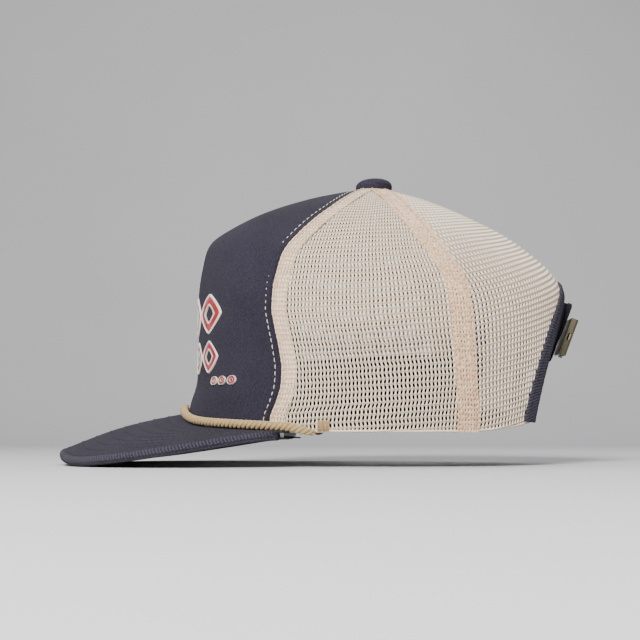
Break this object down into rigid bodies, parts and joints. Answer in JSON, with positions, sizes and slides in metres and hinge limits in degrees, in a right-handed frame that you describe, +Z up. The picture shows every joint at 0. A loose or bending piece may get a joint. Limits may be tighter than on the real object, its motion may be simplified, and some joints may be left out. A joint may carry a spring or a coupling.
{
  "type": "trucker mesh cap",
  "caption": "Peaked cap with twill front panels, open mesh sides and back, roped visor, top button and a rear strap with a flip-lever buckle.",
  "frame": {"origin": "centre of the head opening, in the plane of the crown's lower edge", "axes": "+Z up out of the crown, -X towards the front of the visor, -Y towards the wearer's left"},
  "size_m": [0.2878, 0.1828, 0.1602],
  "materials": {
    "navy_twill": "matte cotton twill",
    "cream_mesh": "open knitted nylon net with a slight gloss",
    "buckram": "stiff open weave",
    "seam_tape": "flat woven tape",
    "sweatband_cloth": "matte brushed cotton",
    "label_cloth": "woven satin",
    "navy_binding": "matte cotton twill cut on the bias",
    "dark_underside": "matte cotton twill",
    "board_plastic": "moulded sheet",
    "gold_rope": "satin twisted cord",
    "button_metal": "stamped",
    "aged_brass": "aged, satin",
    "motif_thread": "satin stitch thread"
  },
  "bodies": {
    "cap": {"front_panel_left": "navy_twill", "front_panel_right": "navy_twill", "front_buckram_left": "buckram", "front_buckram_right": "buckram", "side_mesh_left": "cream_mesh", "side_mesh_right": "cream_mesh", "rear_mesh_left": "cream_mesh", "rear_mesh_right": "cream_mesh", "mesh_hem_left": "cream_mesh", "mesh_hem_right": "cream_mesh", "seam_tape_front": "seam_tape", "seam_tape_rear": "seam_tape", "seam_tape_front_side_left": "seam_tape", "seam_tape_front_side_right": "seam_tape", "seam_tape_rear_side_left": "seam_tape", "seam_tape_rear_side_right": "seam_tape", "sweatband": "sweatband_cloth", "woven_label": "label_cloth", "arch_binding": "navy_binding", "visor_board": "board_plastic", "visor_top_fabric": "navy_twill", "visor_under_fabric": "dark_underside", "visor_edge_binding": "navy_binding", "rope": "gold_rope", "rope_tack_left": "gold_rope", "rope_tack_right": "gold_rope", "button_cover": "navy_binding", "button_shell": "button_metal", "button_rivet": "button_metal", "button_washer": "button_metal", "strap_left_tab": "navy_twill", "strap_right_tongue": "navy_twill", "buckle_frame": "aged_brass", "buckle_pin": "aged_brass", "motif_upper": "motif_thread", "motif_lower": "motif_thread", "motif_rings": "motif_thread"},
    "lever": {"buckle_lever": "aged_brass"}
  },
  "joints": [
    {"name": "lever_hinge", "type": "hinge", "parent": "cap", "child": "lever", "pos_m": [0.10935, -0.0087, 0.05206], "axis": [-0.3584, 0, -0.9336], "range_deg": [0, 110]}
  ]
}
